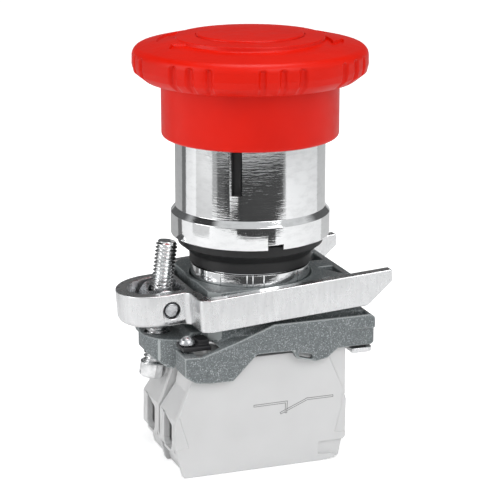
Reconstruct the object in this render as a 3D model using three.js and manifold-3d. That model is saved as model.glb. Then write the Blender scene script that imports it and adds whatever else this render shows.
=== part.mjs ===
// Emergency stop button, turn-to-release, for a 22 mm panel hole: a red mushroom head on a metal
// barrel, a die-cast fixing collar with its screw-driven clamp yoke, and two normally closed
// contact blocks. Millimetres, +Z out of the panel towards the mushroom. The origin is on the
// button's axis in the plane of the panel's front face, which the flange's underside meets.
import * as THREE from 'three';
import { mergeVertices } from 'three/addons/utils/BufferGeometryUtils.js';
import Module from 'manifold-3d';

const wasm = await Module();
wasm.setup();

// ---------------------------------------------------------------- driving dimensions
const GAP = 0.3;                 // clearance left between neighbouring pieces
const SIDES = 40;                // facets round a large turned piece
const SMALL_SIDES = 16;          // facets round a pin or a screw

const FLANGE_R = 14.5;           // the bezel that meets the panel
const FLANGE_TOP = 4.16;
const BARREL_R = 13.65;
const BARREL_TOP = 21.4;
const BARREL_BORE_R = 12.0;
const TUBE_R = 10.95;            // passes the 22 mm panel hole
const TUBE_BORE_R = 8.8;
const TUBE_END = -17.9;
const GASKET_GROOVE_R = 10.2;
const GASKET_END = -5.16;
const GASKET_LIP_R = 13.3;

const CAP_R = 21.2;              // mushroom, 42.4 mm across
const SKIRT_R = 16.05;
const SKIRT_BORE_R = 14.0;
const SKIRT_END = 18.0;
const CAP_TOP = 36.25;
const CAP_TURN = -4.4;           // degrees; how far the grip pattern sits off the collar's axes
const GRIP_GROUPS = 8;
const GRIP_STEP = 9.8;           // degrees between the three grooves of a group

const DECK_TOP = -7.5;           // top of the collar round the tube
const DECK_END = -17.0;          // ceiling of the hollow that takes the contact blocks
const COLLAR_HALF = 15.2;        // half width over the side walls
const COLLAR_BORE_R = 11.3;
const RING_WALL_R = 12.2;

const YOKE_TILT = 3.9;           // degrees; arm tips raised
const YOKE_HEIGHT = 6.0;
const YOKE_HALF = 14.2;
const YOKE_INNER = 12.2;
const FULCRUM = [7, 0, -9.78];
const EYE_X = -18.3;             // centre of the eye's round end
const EYE_R = 7.1;
const NUT_ARM = 24.4;            // fulcrum to nut, along the yoke
const NUT_AT = [
  FULCRUM[0] - NUT_ARM * Math.cos((YOKE_TILT * Math.PI) / 180),
  0,
  FULCRUM[2] - NUT_ARM * Math.sin((YOKE_TILT * Math.PI) / 180),
];
const SCREW_LEAN = 7.15;         // degrees; the screw's tip leans towards the barrel
const SCREW_R = 1.85;            // stands for the M4 x 0.7 thread
const SCREW_TIP = 11.15;         // along the screw's axis, from the nut's centre
const SCREW_HEAD_TOP = -11.55;
const SCREW_END = -14.35;

const BLOCK_PITCH = 10.2;
const NEAR_BLOCK_Y = -8.7;
const BLOCK_HALF = 4.9;          // half of a contact block's thickness
const BLOCK_TOP = -19.5;
const BLOCK_END = -41.0;
const BLOCK_WALL = 1.2;
const TERMINAL_X = [-13.0, 8.8]; // the two terminal screws
const DRIVER_HOLE_R = 3.05;
const BRIDGE_TOP = -24.9;

// ---------------------------------------------------------------- materials
function finish(color, roughness, metalness) {
  return new THREE.MeshStandardMaterial({ color, roughness, metalness });
}
const RED = finish(0xe0271c, 0.4, 0);
const CHROME = finish(0xdfe1e2, 0.15, 1);
const ZINC_BRIGHT = finish(0xd8dadb, 0.3, 1);
const ZINC_CAST = finish(0x757a7a, 0.6, 0.7);
const STEEL = finish(0xb4b6b8, 0.35, 1);
const BRASS = finish(0xc9a24e, 0.35, 1);
const RUBBER = finish(0x262626, 0.8, 0);
const BLACK_PLASTIC = finish(0x1d1e1f, 0.5, 0);
const WHITE_PLASTIC = finish(0xe6e5df, 0.5, 0);
const GREY_PLASTIC = finish(0xd6d7d6, 0.5, 0);

// ---------------------------------------------------------------- solids
const rad = THREE.MathUtils.degToRad;

function signedVolume(points, faces) {
  let sum = 0;
  const at = (i) => new THREE.Vector3().fromArray(points, 3 * i);
  for (let f = 0; f < faces.length; f += 3) {
    sum += at(faces[f]).dot(at(faces[f + 1]).cross(at(faces[f + 2])));
  }
  return sum / 6;
}

// A closed geometry as a manifold solid with shared vertices and outward faces.
function solidOf(geometry) {
  const bare = geometry.clone();
  bare.deleteAttribute('normal');
  bare.deleteAttribute('uv');
  const merged = mergeVertices(bare, 1e-4);
  const points = merged.attributes.position.array;
  const faces = [];
  for (let f = 0; f < merged.index.count; f += 3) {
    const [a, b, c] = [0, 1, 2].map((k) => merged.index.getX(f + k));
    if (a !== b && b !== c && c !== a) faces.push(a, b, c);
  }
  if (signedVolume(points, faces) < 0) faces.reverse();
  const mesh = new wasm.Mesh({
    numProp: 3,
    vertProperties: new Float32Array(points),
    triVerts: new Uint32Array(faces),
  });
  return new wasm.Manifold(mesh);
}

function geometryOf(solid) {
  const mesh = solid.getMesh();
  const geometry = new THREE.BufferGeometry();
  geometry.setAttribute('position', new THREE.Float32BufferAttribute(mesh.vertProperties, 3));
  geometry.setIndex(new THREE.Uint32BufferAttribute(mesh.triVerts, 1));
  geometry.computeVertexNormals();
  return geometry;
}

function join(first, ...others) {
  return geometryOf(others.reduce((sum, g) => sum.add(solidOf(g)), solidOf(first)));
}

function cut(first, ...others) {
  return geometryOf(others.reduce((rest, g) => rest.subtract(solidOf(g)), solidOf(first)));
}

function box(x0, x1, y0, y1, z0, z1) {
  const g = new THREE.BoxGeometry(x1 - x0, y1 - y0, z1 - z0);
  return g.translate((x0 + x1) / 2, (y0 + y1) / 2, (z0 + z1) / 2);
}

function extruded(outline, depth) {
  const shape = new THREE.Shape(outline.map(([x, y]) => new THREE.Vector2(x, y)));
  return new THREE.ExtrudeGeometry(shape, { depth, bevelEnabled: false });
}

// A plan outline of (x, y) points, raised from z0 to z1.
function plate(outline, z0, z1) {
  return extruded(outline, z1 - z0).translate(0, 0, z0);
}

// A side-view outline of (x, z) points, as thick as y0 to y1.
function slab(outline, y0, y1) {
  return extruded(outline, y1 - y0).rotateX(Math.PI / 2).translate(0, y1, 0);
}

// An end-view outline of (y, z) points, as long as x0 to x1.
function slabX(outline, x0, x1) {
  return extruded(outline, x1 - x0).rotateY(Math.PI / 2).rotateX(Math.PI / 2).translate(x0, 0, 0);
}

// A profile of (radius, z) points turned about Z. It closes on itself unless it meets the axis.
function turned(profile, sides = SIDES) {
  const onAxis = profile[0][0] === 0;
  const closed = onAxis ? profile : [...profile, profile[0]];
  const points = closed.map(([r, z]) => new THREE.Vector2(r, z));
  const lathe = new THREE.LatheGeometry(points, sides).rotateX(Math.PI / 2);
  return geometryOf(solidOf(lathe));
}

function ring(inner, outer, z0, z1, sides = SIDES) {
  return turned([[inner, z0], [outer, z0], [outer, z1], [inner, z1]], sides);
}

function rod(radius, z0, z1, sides = SMALL_SIDES) {
  return turned([[0, z0], [radius, z0], [radius, z1], [0, z1]], sides);
}

function crossRod(radius, y0, y1, sides = SMALL_SIDES) {
  return rod(radius, -y1, -y0, sides).rotateX(Math.PI / 2);
}

// Points on an arc about (cx, cy), from one angle to the other in degrees.
function arc(cx, cy, radius, from, to, steps) {
  return Array.from({ length: steps + 1 }, (_, i) => {
    const a = rad(from + ((to - from) * i) / steps);
    return [cx + radius * Math.cos(a), cy + radius * Math.sin(a)];
  });
}

function polarCopies(geometry, count, startDegrees) {
  return Array.from({ length: count }, (_, i) => (
    geometry.clone().rotateZ(rad(startDegrees + (360 * i) / count))
  ));
}

class Helix extends THREE.Curve {
  constructor(radius, z0, z1, turns) {
    super();
    Object.assign(this, { radius, z0, z1, turns });
  }

  getPoint(t, target = new THREE.Vector3()) {
    const a = 2 * Math.PI * this.turns * t;
    const z = this.z0 + (this.z1 - this.z0) * t;
    return target.set(this.radius * Math.cos(a), this.radius * Math.sin(a), z);
  }
}

// A compression spring whose wire reaches exactly from z0 to z1.
function coilSpring(radius, wire, z0, z1, turns) {
  const path = new Helix(radius, z0 + wire / 2 + 0.1, z1 - wire / 2 - 0.1, turns);
  const corners = arc(0, 0, wire / 2, 0, 288, 4).map(([x, y]) => new THREE.Vector2(x, y));
  const steps = Math.round(turns * 9);
  return new THREE.ExtrudeGeometry(new THREE.Shape(corners), { extrudePath: path, steps });
}

function add(group, name, geometry, material) {
  const mesh = new THREE.Mesh(geometry, material);
  mesh.name = name;
  group.add(mesh);
}

// ---------------------------------------------------------------- head: fixed pieces
function barrel() {
  const body = turned([
    [TUBE_BORE_R, TUBE_END], [TUBE_R - 0.4, TUBE_END], [TUBE_R, TUBE_END + 0.4],
    [TUBE_R, GASKET_END - GAP], [GASKET_GROOVE_R, GASKET_END - GAP], [GASKET_GROOVE_R, 0.6],
    [GASKET_LIP_R + GAP, 0.6], [GASKET_LIP_R + GAP, 0], [FLANGE_R - 0.15, 0], [FLANGE_R, 0.15],
    [FLANGE_R, FLANGE_TOP], [BARREL_R, FLANGE_TOP + 1.04], [BARREL_R, BARREL_TOP - 0.4],
    [BARREL_R - 0.4, BARREL_TOP], [BARREL_BORE_R, BARREL_TOP], [BARREL_BORE_R, 3.0],
    [TUBE_BORE_R, 3.0],
  ]);
  const guideSlot = box(10.5, 15, -0.85, 0.85, 9.8, BARREL_TOP + 1).rotateZ(rad(239.3));
  const keyNotch = box(13.2, 15, -1.45, 1.45, -1, 1.05).rotateZ(rad(268.2));
  return cut(body, guideSlot, keyNotch);
}

function panelGasket() {
  const inner = GASKET_GROOVE_R + GAP;
  return turned([
    [inner, GASKET_END], [11.2, GASKET_END], [11.2, -3.2], [12.9, -1.7],
    [GASKET_LIP_R, -1.4], [GASKET_LIP_R, 0.3], [inner, 0.3],
  ]);
}

function camSleeve() {
  const body = turned([
    [5.6, 3.3], [BARREL_BORE_R - GAP, 3.3], [BARREL_BORE_R - GAP, 19.6],
    [8.3, 19.6], [8.3, 4.6], [5.6, 4.6],
  ], 32);
  const releaseRamp = slab([[7, 20], [7, 15.4], [13, 15.4], [13, 20]], -2.2, 2.2);
  return cut(body, ...polarCopies(releaseRamp, 2, 0));
}

const retainingRing = () => ring(8.9, BARREL_BORE_R - GAP, 19.9, 20.7, 32);

// ---------------------------------------------------------------- head: the push rod
const LATCH_Z = 19.15;           // height of the latch pins in the spindle's head

function spindle() {
  const body = turned([
    [0, -10.0], [5.2, -10.0], [5.2, 17.0], [7.9, 17.0], [7.9, 21.3], [4.0, 21.3],
    [4.0, 30.7], [0, 30.7],
  ], 24);
  const latchBore = rod(1.6, -9, 9).rotateY(Math.PI / 2).translate(0, 0, LATCH_Z);
  return cut(body, rod(1.8, 22, 32), latchBore, rod(1.6, -11, -4.5));
}

function latchPin(side) {
  const pin = rod(1.3, 3.2, 7.7).rotateY((side * Math.PI) / 2);
  return pin.translate(0, 0, LATCH_Z);
}

function latchSpring() {
  return coilSpring(0.95, 0.35, -2.9, 2.9, 4).rotateY(Math.PI / 2).translate(0, 0, LATCH_Z);
}

const returnSpring = () => coilSpring(6.7, 1.1, 4.9, 16.7, 5);

function contactPusher() {
  return turned([
    [1.7, -10.3], [4.5, -10.3], [4.5, -11.6], [8.4, -11.6], [8.4, -13.6],
    [3.2, -13.6], [3.2, -12.0], [1.7, -12.0],
  ], 28);
}

const pusherScrew = () => (
  turned([[0, -13.4], [2.8, -13.4], [2.8, -12.3], [1.3, -12.3], [1.3, -5], [0, -5]], SMALL_SIDES)
);

const capWasher = () => ring(1.9, 4.6, 33.5, 34.0, 20);

const capScrew = () => (
  turned([[0, 22.6], [1.5, 22.6], [1.5, 34.3], [3.4, 34.3], [3.4, 35.4], [0, 35.4]], SMALL_SIDES)
);

// ---------------------------------------------------------------- head: the mushroom
function mushroomCap() {
  const body = turned([
    [2.2, 31.0], [4.3, 31.0], [4.3, 21.8], [6.6, 21.8], [6.6, 32.6], [SKIRT_BORE_R, 31.8],
    [SKIRT_BORE_R, SKIRT_END + 0.3], [SKIRT_BORE_R + 0.3, SKIRT_END],
    ...arc(SKIRT_R - 1.4, SKIRT_END + 1.4, 1.4, -90, 0, 3),
    [SKIRT_R, 28.2], [SKIRT_R + 0.4, 28.5], [19.2, 28.5], [20.9, 30.25], [CAP_R, 31.2],
    ...arc(CAP_R - 1.9, 32.4, 1.9, 0, 72, 3),
    [16.1, 35.25], [13.4, 35.75], [13.15, 36.0], [9.85, CAP_TOP], [9.85, 35.6],
    [5.4, 35.6], [5.4, 33.2], [2.2, 33.2],
  ]);
  const groove = rod(0.8, 29.8, 33.3, 4).translate(CAP_R + 0.2, 0, 0);
  const grooves = [-GRIP_STEP, 0, GRIP_STEP].flatMap((step) => (
    polarCopies(groove, GRIP_GROUPS, 270 + CAP_TURN + step)
  ));
  return cut(body, ...grooves);
}

const centreDisc = () => (
  turned([
    [0, 35.7], [5.0, 35.7], [5.0, 35.9], [9.5, 35.9], [9.5, 36.45], [9.2, 36.6],
    [5, 36.7], [0, 36.75],
  ])
);

// ---------------------------------------------------------------- fixing collar
// Side view of the collar's long walls, (x, z), clockwise from the left end's top.
const WALL_OUTLINE = [
  [-17.7, -17.9], [-14.4, -18.0], [-7.4, -15.8], [-0.9, -13.5], [17.9, -13.5], [18.6, -14.1],
  [18.6, -18.9], [18.1, -19.4], [11.0, -19.4], [9.3, -20.8], [7.0, -21.2], [3.3, -20.2], [2.7, -18.75],
  [-4.1, -18.65], [-8.7, -23.1], [-12.7, -23.1], [-15.6, -22.8], [-17.7, -21.4],
];
const EAR_OUTLINE = [
  [-21.45, -17.1], [-14.6, -17.1], [-13.8, -15.95], [-9.5, -15.95], [-9.5, -17.0],
  [-13.75, -17.0], [-13.75, -19.2], [-15.6, -19.2], [-16.7, -22.5], [-17.9, -22.5],
  [-20.3, -20.8], [-21.45, -19.6],
];
// Gap in the hook under the front face.
const HOOK_SLOT = [[3.7, -19.2], [6.3, -19.75], [6.6, -20.4], [6.2, -20.65], [3.9, -20.0]];
const SIDE_RECESS = [[13.3, -16.0], [19.0, -16.1], [19.0, -20.0], [10.8, -20.0]];
const POCKETS = [
  [[12.3, 2.2], [15.5, 2.2], [15.5, 8.0]],
  [[11.4, 8.9], [14.6, 10.6], [9.6, 10.6]],
];
const EAR_HALF = 7.0;            // the ear that holds the clamp screw has a round end
const EAR_END_X = -14.3;
const CATCH_RIVET = [-15.9, -10.9];     // (x, y) of the rivet through the block catch

const mirrored = (outline) => outline.map(([x, y]) => [x, -y]);

function alongScrew(geometry) {
  return geometry.rotateY(rad(SCREW_LEAN)).translate(...NUT_AT);
}

function collarBody() {
  const walls = slab(WALL_OUTLINE, -COLLAR_HALF, COLLAR_HALF);
  const blockHollow = box(-16.4, 17.4, -13.9, 13.9, -30, DECK_END);
  const earGap = box(-19, -16, -9.7, 9.7, -30, -17.05);
  const troughs = [-1, 1].map((side) => (
    box(-20, 17.5, 13.3 * side - 1.2, 13.3 * side + 1.2, -16.0, -10)
  ));
  const recesses = [-COLLAR_HALF, COLLAR_HALF].map((y) => slab(SIDE_RECESS, y - 0.6, y + 0.6));
  const hookSlot = slab(HOOK_SLOT, -16, 16);
  const frame = cut(walls, blockHollow, earGap, hookSlot, ...troughs, ...recesses);

  const deck = plate([
    [16.6, -11.9], [16.6, 11.9], [-9.7, 11.9], [-11.7, 9.9], [-11.7, -9.9], [-9.7, -11.9],
  ], DECK_END, DECK_TOP);
  const ringWall = rod(RING_WALL_R, DECK_END, DECK_TOP, SIDES);
  const roundEnd = rod(EAR_HALF, -31, -9, SIDES).translate(EAR_END_X, 0, 0);
  const earCorners = cut(box(-30, EAR_END_X, -10, 10, -30, -10), roundEnd);
  const ear = cut(slab(EAR_OUTLINE, -EAR_HALF, EAR_HALF), earCorners);
  const noses = [-12.45, 12.45].map((y) => box(-17.7, -15.0, y - 2.75, y + 2.75, -19.2, -17.95));
  const rough = join(frame, deck, ringWall, ear, ...noses);

  const pockets = POCKETS.flatMap((p) => [p, mirrored(p)]).map((p) => plate(p, -13, -5));
  const pinHole = crossRod(1.8, 8, 13).translate(FULCRUM[0], 0, FULCRUM[2]);
  const pinHoles = [pinHole, pinHole.clone().rotateX(Math.PI).translate(0, 0, 2 * FULCRUM[2])];
  return cut(
    rough,
    rod(COLLAR_BORE_R, -25, 0, SIDES),
    alongScrew(rod(2.35, -16, -4)),
    rod(1.1, -20, -17).translate(CATCH_RIVET[0], CATCH_RIVET[1], 0),
    ...pockets,
    ...pinHoles,
  );
}

function blockCatch() {
  const foot = box(-17.2, -12.0, -12.8, -8.6, -17.6, -16.8);
  const stop = box(-14.2, -12.0, -11.7, -8.6, -17.0, -15.95);
  const hole = rod(1.1, -19, -15).translate(CATCH_RIVET[0], CATCH_RIVET[1], 0);
  return cut(join(foot, stop), hole);
}

function catchRivet() {
  const head = arc(0, -16.5, 1.4, 0, 90, 4).map(([r, z]) => [Math.max(r, 0), z]);
  head[head.length - 1][0] = 0;
  const rivet = turned([[0, -18.9], [0.8, -18.9], [0.8, -16.5], ...head], SMALL_SIDES);
  return rivet.translate(CATCH_RIVET[0], CATCH_RIVET[1], 0);
}

function fulcrumPin(side) {
  const pin = crossRod(1.5, 9.4, 13.3);
  return pin.rotateX(side > 0 ? 0 : Math.PI).translate(FULCRUM[0], 0, FULCRUM[2]);
}

// The bayonet ring under the deck, with the lever that reaches out below the collar's corner.
function lockRing() {
  const band = ring(11.3, 13.3, -18.2, -17.3);
  const arm = box(12.2, 15.4, -7.4, -4.0, -18.2, -17.3);
  const drop = box(14.2, 15.4, -7.4, -4.0, -20.6, -17.3);
  const lever = plate([
    [14.2, -4.0], [15.4, -4.0], [18.3, -8.0], [18.3, -14.3], [17.6, -15.0], [14.2, -15.0],
  ], -20.6, -19.7);
  return join(band, arm, drop, lever);
}

// ---------------------------------------------------------------- clamp yoke, nut and screw
// Built level about the fulcrum, then tilted by its group.
const yokeX = (x) => x - FULCRUM[0];

function clampYoke() {
  const half = [
    [22.4, YOKE_HALF], [-12.4, YOKE_HALF], [-13.7, 13.6], [-14.2, 12.4], [-14.2, 7.8], [-13.7, EYE_R],
    ...arc(EYE_X, 0, EYE_R, 90, 180, 8),
  ];
  const inner = [
    [-13.0, 6.8], [-12.4, 7.6], [-12.4, 10.9], [-11.2, YOKE_INNER], [22.4, YOKE_INNER],
  ];
  const outline = [...half, ...mirrored(half).reverse().slice(1), ...mirrored(inner).reverse(), ...inner];
  const body = plate(outline.map(([x, y]) => [yokeX(x), y]), -YOKE_HEIGHT / 2, YOKE_HEIGHT / 2);
  const pocketArc = arc(EYE_X, 0, 5.0, 90, 270, 12);
  const pocket = plate([[-13.9, 5], ...pocketArc, [-13.9, -5]].map(([x, y]) => [yokeX(x), y]), -4, 4);
  const tipCut = slab([[10.1, -3.2], [10.1, -3.0], [15.6, 1.0], [18, 1.0], [18, -3.2]], -16, 16);
  const trunnionHole = crossRod(1.55, -8, 8).translate(-NUT_ARM, 0, 0);
  const pinHole = crossRod(1.8, -13.6, 13.6);
  return cut(body, pocket, tipCut, trunnionHole, pinHole);
}

function trunnionNut() {
  const body = join(crossRod(2.95, -4.2, 4.2, 20), crossRod(1.25, -6.95, 6.95, 12));
  return cut(body, rod(2.4, -5, 5).rotateY(rad(SCREW_LEAN)));
}

function clampScrew() {
  const body = turned([
    [0, SCREW_END], [1.9, SCREW_END], [2.4, SCREW_END + 0.6], [2.4, SCREW_HEAD_TOP],
    [SCREW_R, SCREW_HEAD_TOP], [SCREW_R, SCREW_TIP - 0.5], [1.45, SCREW_TIP], [0, SCREW_TIP],
  ], 24);
  return cut(body, box(-3, 3, -0.4, 0.4, SCREW_END - 1, SCREW_END + 1.1));
}

// ---------------------------------------------------------------- contact block
// Side views, (x, z). The block's thickness runs from -BLOCK_HALF to BLOCK_HALF along Y.
const COVER_OUTLINE = [
  [-14.8, BLOCK_TOP], [-16.2, -23.25], [-18.2, -28.7], [-19.0, -30.3], [-19.07, -35.3],
  [-17.6, BLOCK_END], [9.0, BLOCK_END], [12.45, -40.6], [13.1, -37.4], [13.6, -36.8],
  [13.75, -29.6], [13.55, -27.9], [13.55, BLOCK_TOP],
];
const HOUSING_OUTLINE = [
  [-14.6, BLOCK_TOP], [-15.9, -26.0], [-18.9, -30.3], [-19.0, -36.4], [-18.2, -37.2], [-18.2, -38.0],
  [-17.2, -38.9], [-17.2, -39.7], [-16.8, BLOCK_END], [9.0, BLOCK_END], [12.6, -40.6], [13.0, -37.4],
  [13.55, -36.7], [13.55, BLOCK_TOP],
];
const HOUSING_CAVITY = [
  [-13.6, -20.7], [-14.9, -26.4], [-17.7, -30.8], [-17.8, -36.0], [-15.6, -39.8], [8.8, -39.8],
  [11.8, -37.0], [12.35, -36.0], [12.35, -20.7],
];
// The window a wire goes in by, (y, z).
const WIRE_ENTRY = [
  [2.5, -30.3], [-2.1, -31.6], [-2.1, -35.6], [-1.2, -36.5], [1.6, -36.5], [2.5, -35.6],
];
const PLATE_Z = -31.0;           // underside of a terminal plate
const CONTACT_Z = -22.8;         // top of a fixed contact's inner arm
const RISER_X = 6.7;             // fixed contacts climb here, either side of the plunger
const CONTACT_OUTER_X = [-16.4, 11.6];
const WASHER_LIP_X = [[-16.9, -16.3], [12.05, 11.55]];  // outer end and lip of each saddle washer
const PLUNGER_Y = 0.15;
const POST_Y = 1.9;
const TIP_X = 5.3;               // silver tips, either side of the plunger

function blockHousing() {
  const shell = slab(HOUSING_OUTLINE, -BLOCK_HALF + BLOCK_WALL + GAP, BLOCK_HALF);
  const cavity = slab(HOUSING_CAVITY, -BLOCK_HALF, BLOCK_HALF - BLOCK_WALL);
  const wireEntry = slabX(WIRE_ENTRY, -25, 20);
  const entryFloor = box(-15, 11, -BLOCK_HALF, BLOCK_HALF, -37, -30);
  const driverHoles = TERMINAL_X.map((x) => (
    rod(DRIVER_HOLE_R, -43, -38).translate(x, PLUNGER_Y, 0)
  ));
  const postHole = rod(1.7, -22, -18).translate(0, POST_Y, 0);
  const supports = [[-9.2, -8.4], [4.6, 5.4]].map(([x0, x1]) => (
    box(x0, x1, -BLOCK_HALF + BLOCK_WALL + GAP, BLOCK_HALF - BLOCK_WALL + 0.2, -40, PLATE_Z - GAP)
  ));
  const tongue = box(-11.8, -8.9, -2.5, 2.5, BLOCK_TOP - 0.5, BLOCK_TOP + 0.8);
  const entries = cut(wireEntry, entryFloor);
  const tray = cut(shell, cavity, entries, ...driverHoles, postHole);
  return join(tray, ...supports, tongue);
}

function blockCover() {
  const body = slab(COVER_OUTLINE, -BLOCK_HALF, -BLOCK_HALF + BLOCK_WALL);
  const releaseRecess = box(8.25, 12.65, -6, -BLOCK_HALF + 0.6, -39.75, -37.3);
  const leftWedge = slab([[-18.3, -29.3], [-16.5, -35.2], [-18.6, -35.5]], -6, -BLOCK_HALF + 0.35);
  const rightWedge = slab([[12.8, -31.6], [13.4, -35.7], [11.5, -35.75]], -6, -BLOCK_HALF + 0.35);
  return cut(body, releaseRecess, leftWedge, rightWedge);
}

function plunger() {
  const [y0, y1] = [PLUNGER_Y - 3.1, PLUNGER_Y + 3.1];
  const head = box(-2.6, 2.6, y0, y1, BRIDGE_TOP + 0.5, -21.2);
  const post = rod(1.35, -22, -15.1).translate(0, POST_Y, 0);
  const front = box(-2.6, 2.6, y0, y0 + 0.9, -33.4, -24);
  const rear = box(-2.6, 2.6, y1 - 0.9, y1, -33.4, -24);
  const foot = box(-2.6, 2.6, y0, y1, -33.4, -32.6);
  return join(head, post, front, rear, foot);
}

function contactBridge() {
  const bar = box(-6.4, 6.4, PLUNGER_Y - 1.8, PLUNGER_Y + 1.8, BRIDGE_TOP - 0.6, BRIDGE_TOP);
  const tip = rod(0.8, BRIDGE_TOP - 0.1, BRIDGE_TOP + 0.4, 10);
  const tips = [-TIP_X, TIP_X].map((x) => tip.clone().translate(x, PLUNGER_Y, 0));
  return join(bar, ...tips);
}

// A strip from the contact tip beside the plunger to the terminal plate at x = screwX.
function fixedContact(screwX) {
  const side = Math.sign(screwX);
  const outerX = CONTACT_OUTER_X[screwX < 0 ? 0 : 1];
  const y0 = PLUNGER_Y - 2.2;
  const y1 = PLUNGER_Y + 2.2;
  const strip = (xa, xb, za, zb) => box(Math.min(xa, xb), Math.max(xa, xb), y0, y1, za, zb);
  const arm = strip(4.3 * side, (RISER_X + 0.5) * side, CONTACT_Z - 0.7, CONTACT_Z);
  const riser = strip(RISER_X * side, (RISER_X + 0.5) * side, PLATE_Z, CONTACT_Z);
  const seat = strip(RISER_X * side, outerX, PLATE_Z, PLATE_Z + 0.8);
  const tip = rod(0.8, CONTACT_Z - 1.4, CONTACT_Z - 0.3, 10).translate(TIP_X * side, PLUNGER_Y, 0);
  const hole = rod(1.6, PLATE_Z - 1, PLATE_Z + 2).translate(screwX, PLUNGER_Y, 0);
  return cut(join(arm, riser, seat, tip), hole);
}

function terminalScrew(x) {
  const body = turned([
    [0, -36.2], [2.5, -36.2], [2.5, -34.2], [1.2, -34.2], [1.2, -28.9], [0, -28.9],
  ], SMALL_SIDES);
  const slot = box(-3, 3, -0.35, 0.35, -37, -35.3);
  return cut(body, slot).translate(x, PLUNGER_Y, 0);
}

// A saddle washer; its outer end turns down over the screw's head.
function clampWasher(x, [end, lip]) {
  const flat = box(Math.min(x - 2.4, end), Math.max(x + 2.4, end), -2.2, 2.2, -33.9, -33.0);
  const turnedDown = box(Math.min(end, lip), Math.max(end, lip), -2.2, 2.2, -35.9, -33.0);
  return cut(join(flat, turnedDown), rod(1.55, -35, -32).translate(x, 0, 0)).translate(0, PLUNGER_Y, 0);
}

const contactSpring = () => coilSpring(1.3, 0.4, -32.3, -25.8, 4).translate(0, PLUNGER_Y, 0);
const plungerSpring = () => coilSpring(1.9, 0.45, -39.5, -33.7, 3).translate(0, PLUNGER_Y, 0);

function contactBlock(label, y) {
  const group = new THREE.Group();
  group.position.y = y;
  add(group, `housing_${label}`, blockHousing(), GREY_PLASTIC);
  add(group, `cover_${label}`, blockCover(), GREY_PLASTIC);
  add(group, `plunger_${label}`, plunger(), WHITE_PLASTIC);
  add(group, `contact_bridge_${label}`, contactBridge(), BRASS);
  add(group, `contact_spring_${label}`, contactSpring(), STEEL);
  add(group, `plunger_spring_${label}`, plungerSpring(), STEEL);
  TERMINAL_X.forEach((x, i) => {
    const end = ['left', 'right'][i];
    add(group, `fixed_contact_${label}_${end}`, fixedContact(x), BRASS);
    add(group, `terminal_screw_${label}_${end}`, terminalScrew(x), STEEL);
    add(group, `clamp_washer_${label}_${end}`, clampWasher(x, WASHER_LIP_X[i]), STEEL);
  });
  return group;
}

// ---------------------------------------------------------------- assembly
const head = new THREE.Group();
add(head, 'barrel', barrel(), CHROME);
add(head, 'panel_gasket', panelGasket(), RUBBER);
add(head, 'cam_sleeve', camSleeve(), BLACK_PLASTIC);
add(head, 'retaining_ring', retainingRing(), STEEL);
add(head, 'spindle', spindle(), WHITE_PLASTIC);
add(head, 'latch_pin_left', latchPin(-1), STEEL);
add(head, 'latch_pin_right', latchPin(1), STEEL);
add(head, 'latch_spring', latchSpring(), STEEL);
add(head, 'return_spring', returnSpring(), STEEL);
add(head, 'contact_pusher', contactPusher(), BLACK_PLASTIC);
add(head, 'pusher_screw', pusherScrew(), STEEL);
add(head, 'cap_washer', capWasher(), STEEL);
add(head, 'cap_screw', capScrew(), STEEL);
add(head, 'mushroom_cap', mushroomCap(), RED);
add(head, 'centre_disc', centreDisc(), RED);

const collar = new THREE.Group();
add(collar, 'collar_body', collarBody(), ZINC_CAST);
add(collar, 'block_catch', blockCatch(), BLACK_PLASTIC);
add(collar, 'catch_rivet', catchRivet(), STEEL);
add(collar, 'fulcrum_pin_front', fulcrumPin(-1), STEEL);
add(collar, 'fulcrum_pin_back', fulcrumPin(1), STEEL);
add(collar, 'lock_ring', lockRing(), STEEL);

const yokeGroup = new THREE.Group();
yokeGroup.position.set(...FULCRUM);
yokeGroup.rotation.y = -rad(YOKE_TILT);
add(yokeGroup, 'clamp_yoke', clampYoke(), ZINC_BRIGHT);

const nutGroup = new THREE.Group();
nutGroup.position.set(...NUT_AT);
add(nutGroup, 'trunnion_nut', trunnionNut(), STEEL);

const screwGroup = new THREE.Group();
screwGroup.position.set(...NUT_AT);
screwGroup.rotation.y = rad(SCREW_LEAN);
add(screwGroup, 'clamp_screw', clampScrew(), STEEL);

const emergencyStop = new THREE.Group();
emergencyStop.add(head, collar, yokeGroup, nutGroup, screwGroup);
emergencyStop.add(contactBlock('near', NEAR_BLOCK_Y));
emergencyStop.add(contactBlock('far', NEAR_BLOCK_Y + BLOCK_PITCH));

export default emergencyStop;
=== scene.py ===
import math

import bmesh
import bpy
from mathutils import Matrix, Vector


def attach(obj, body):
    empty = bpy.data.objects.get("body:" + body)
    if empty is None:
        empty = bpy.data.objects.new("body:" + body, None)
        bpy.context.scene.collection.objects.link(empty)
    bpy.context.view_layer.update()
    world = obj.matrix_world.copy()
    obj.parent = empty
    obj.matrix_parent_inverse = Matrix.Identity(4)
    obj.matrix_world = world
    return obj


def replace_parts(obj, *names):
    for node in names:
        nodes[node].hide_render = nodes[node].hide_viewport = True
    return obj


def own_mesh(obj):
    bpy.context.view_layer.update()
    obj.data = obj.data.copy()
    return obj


# Emergency stop button with a red mushroom head, chromed barrel, die-cast collar with its clamp
# yoke, and two contact blocks. Piece dimensions below are in millimetres and are scaled to metres
# as each mesh is made.
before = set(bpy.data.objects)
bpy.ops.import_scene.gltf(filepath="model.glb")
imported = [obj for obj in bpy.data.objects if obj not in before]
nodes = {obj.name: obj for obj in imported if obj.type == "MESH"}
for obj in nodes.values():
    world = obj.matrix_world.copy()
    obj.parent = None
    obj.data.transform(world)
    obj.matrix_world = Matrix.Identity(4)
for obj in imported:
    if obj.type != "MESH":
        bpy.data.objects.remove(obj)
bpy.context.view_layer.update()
MM = 0.001
WELD = 0.002                        # points nearer than this are one point

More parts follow.
